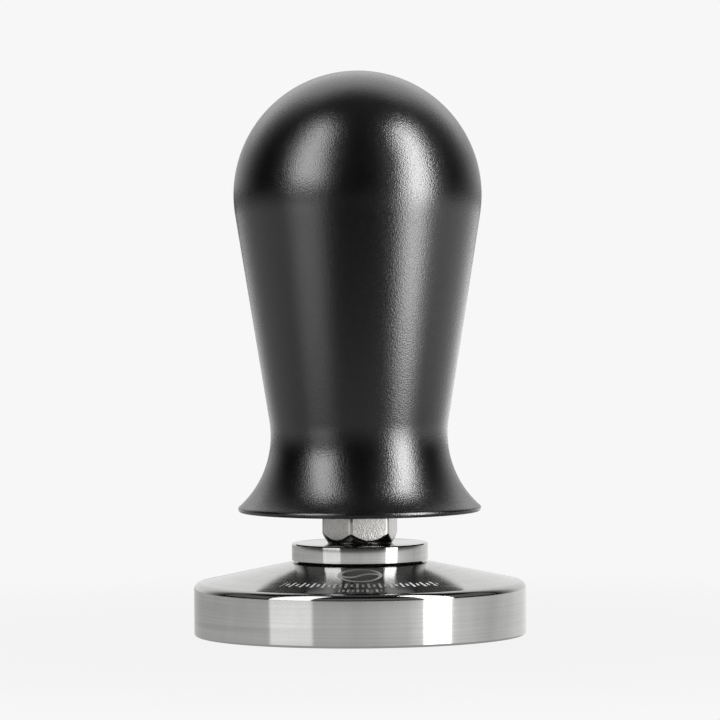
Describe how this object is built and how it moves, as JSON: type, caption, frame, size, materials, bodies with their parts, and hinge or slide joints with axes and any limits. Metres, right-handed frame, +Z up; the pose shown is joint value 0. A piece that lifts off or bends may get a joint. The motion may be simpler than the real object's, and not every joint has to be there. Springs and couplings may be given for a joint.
{
  "type": "espresso tamper",
  "caption": "Spring-loaded espresso tamper: a black pear-shaped handle that presses down and turns over a steel plunger, on a round steel base with a shallow cone top.",
  "frame": {"origin": "centre of the flat tamping face, on which the tamper stands", "axes": "+Z up along the axis that every turned piece shares; the etched ornament faces -Y"},
  "size_m": [0.0584, 0.0584, 0.0992],
  "materials": {
    "handle_black": "fine bead-blasted and black anodised, satin",
    "base_steel": "polished stainless steel with fine turning lines",
    "collar_steel": "turned stainless steel",
    "nut_nickel": "nickel-plated, slightly rough",
    "shaft_steel": "ground stainless steel",
    "spring_steel": "drawn spring steel, lightly oiled",
    "plain_aluminium": "turned, uncoated",
    "bronze": "sintered bearing bronze",
    "black_rubber": "matte",
    "acetal": "turned, satin"
  },
  "bodies": {
    "base_assembly": {"tamping_base": "base_steel", "seat_washer": "black_rubber", "collar_disc": "collar_steel", "lock_nut": "nut_nickel", "plunger_shaft": "shaft_steel"},
    "spring_set": {"thrust_washer": "acetal", "spring_washer": "shaft_steel", "main_spring": "spring_steel"},
    "handle": {"handle_body": "handle_black", "retaining_nut": "plain_aluminium", "retainer_lock_screw": "spring_steel", "guide_bush": "bronze", "shaft_seal": "black_rubber", "bumper_ring": "black_rubber", "spring_seat": "shaft_steel", "plug_lock_ring": "plain_aluminium", "calibration_plug": "plain_aluminium"}
  },
  "joints": [
    {"name": "handle_spin", "type": "hinge", "parent": "base_assembly", "child": "spring_set", "pos_m": [0, 0, 0], "axis": [0, 0, 1], "continuous": true},
    {"name": "handle_press", "type": "slide", "parent": "spring_set", "child": "handle", "axis": [0, 0, -1], "range_m": [0, 0.004], "stiffness_N_per_m": 10270, "springref_m": -0.009, "deforming": ["main_spring"]}
  ]
}
